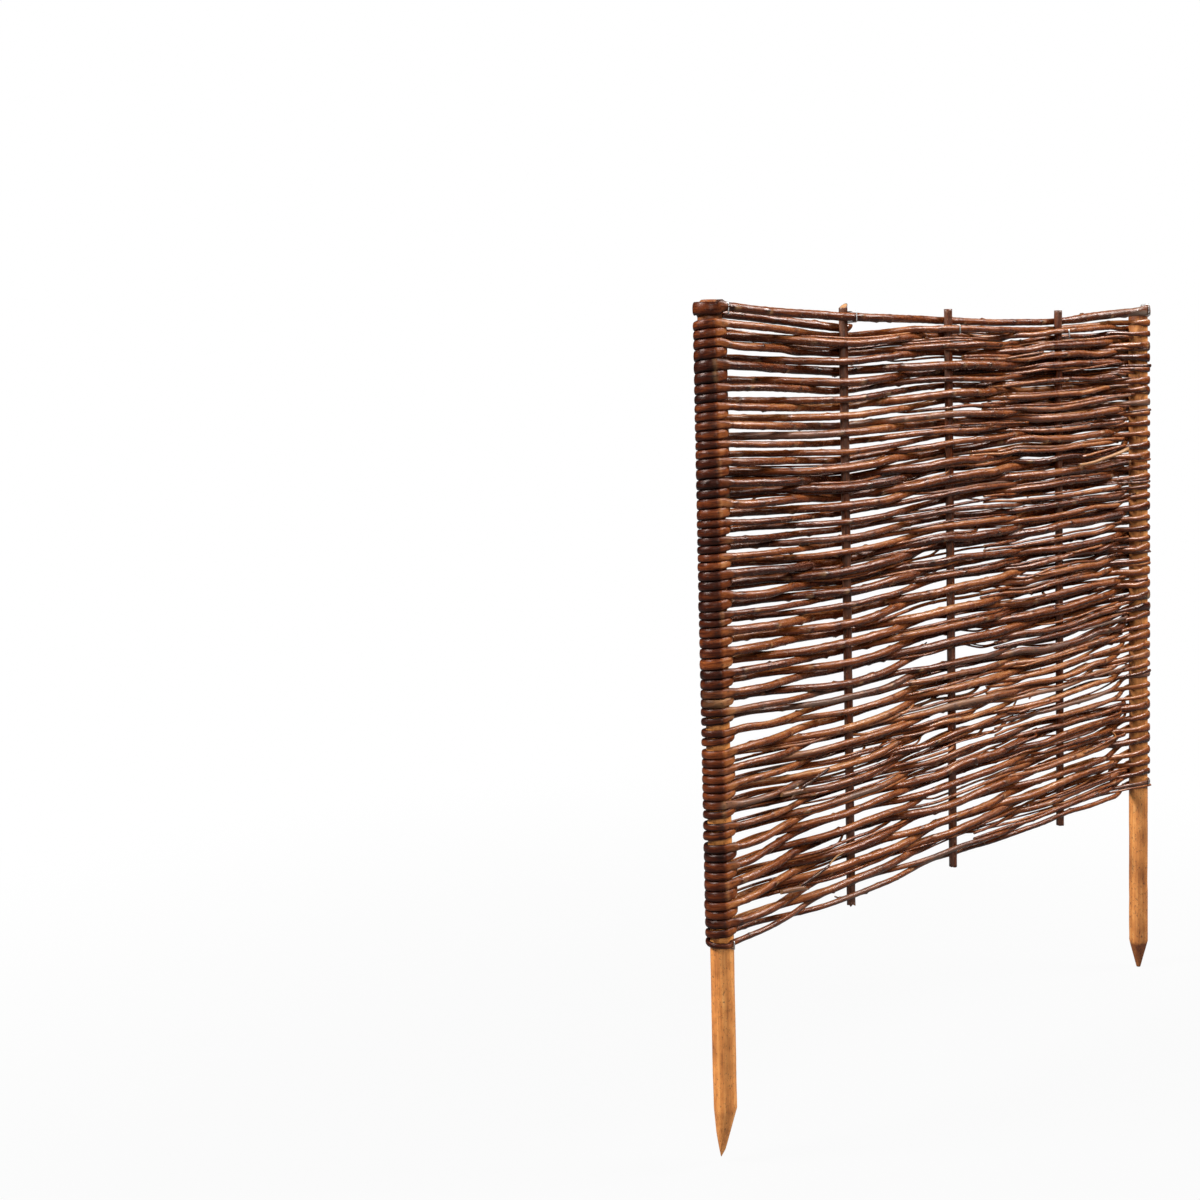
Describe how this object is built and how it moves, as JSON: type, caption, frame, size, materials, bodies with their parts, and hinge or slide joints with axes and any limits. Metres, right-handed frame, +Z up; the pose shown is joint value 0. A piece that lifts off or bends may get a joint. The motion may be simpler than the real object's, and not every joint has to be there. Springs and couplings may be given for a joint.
{
  "type": "woven willow hurdle",
  "caption": "Woven willow hurdle: bark-on rods woven past thin ribs and wrapped round pointed end stakes that push into the ground.",
  "frame": {"origin": "left stake's axis at the ground line, where the stake's round spike meets the weave", "axes": "+X along the panel from the left stake to the right one, +Y to the back, +Z up the stakes"},
  "size_m": [0.6037, 0.0321, 0.6815],
  "materials": {
    "stake_wood": "bare, peeled",
    "rib_bark": "bark on",
    "willow_bark": "smooth bark",
    "staple_wire": "galvanised"
  },
  "bodies": {
    "root": {"left_stake": "stake_wood", "right_stake": "stake_wood", "top_rod": "willow_bark", "stake_staples": "staple_wire", "rib_staples": "staple_wire", "rod_01": "willow_bark", "rod_02": "willow_bark", "rod_03": "willow_bark", "rod_04": "willow_bark", "rod_05": "willow_bark", "rod_06": "willow_bark", "rod_07": "willow_bark", "rod_08": "willow_bark", "rod_09": "willow_bark", "rod_10": "willow_bark", "rod_11": "willow_bark", "rod_12": "willow_bark", "rod_13": "willow_bark", "rod_14": "willow_bark", "rod_15": "willow_bark", "rod_16": "willow_bark", "rod_17": "willow_bark", "rod_18": "willow_bark", "rod_19": "willow_bark", "rod_20": "willow_bark", "rod_21": "willow_bark", "rod_22": "willow_bark", "rod_23": "willow_bark", "rod_24": "willow_bark", "rod_25": "willow_bark", "rod_26": "willow_bark", "rod_27": "willow_bark", "rod_28": "willow_bark", "rod_29": "willow_bark", "rod_30": "willow_bark", "rod_31": "willow_bark", "rod_32": "willow_bark", "rod_33": "willow_bark", "filler_1": "willow_bark", "filler_2": "willow_bark", "filler_3": "willow_bark", "filler_4": "willow_bark", "filler_5": "willow_bark", "filler_6": "willow_bark", "filler_7": "willow_bark", "filler_8": "willow_bark", "filler_9": "willow_bark", "filler_10": "willow_bark", "filler_11": "willow_bark", "rib_1": "rib_bark", "rib_2": "rib_bark", "rib_3": "rib_bark"}
  },
  "joints": []
}
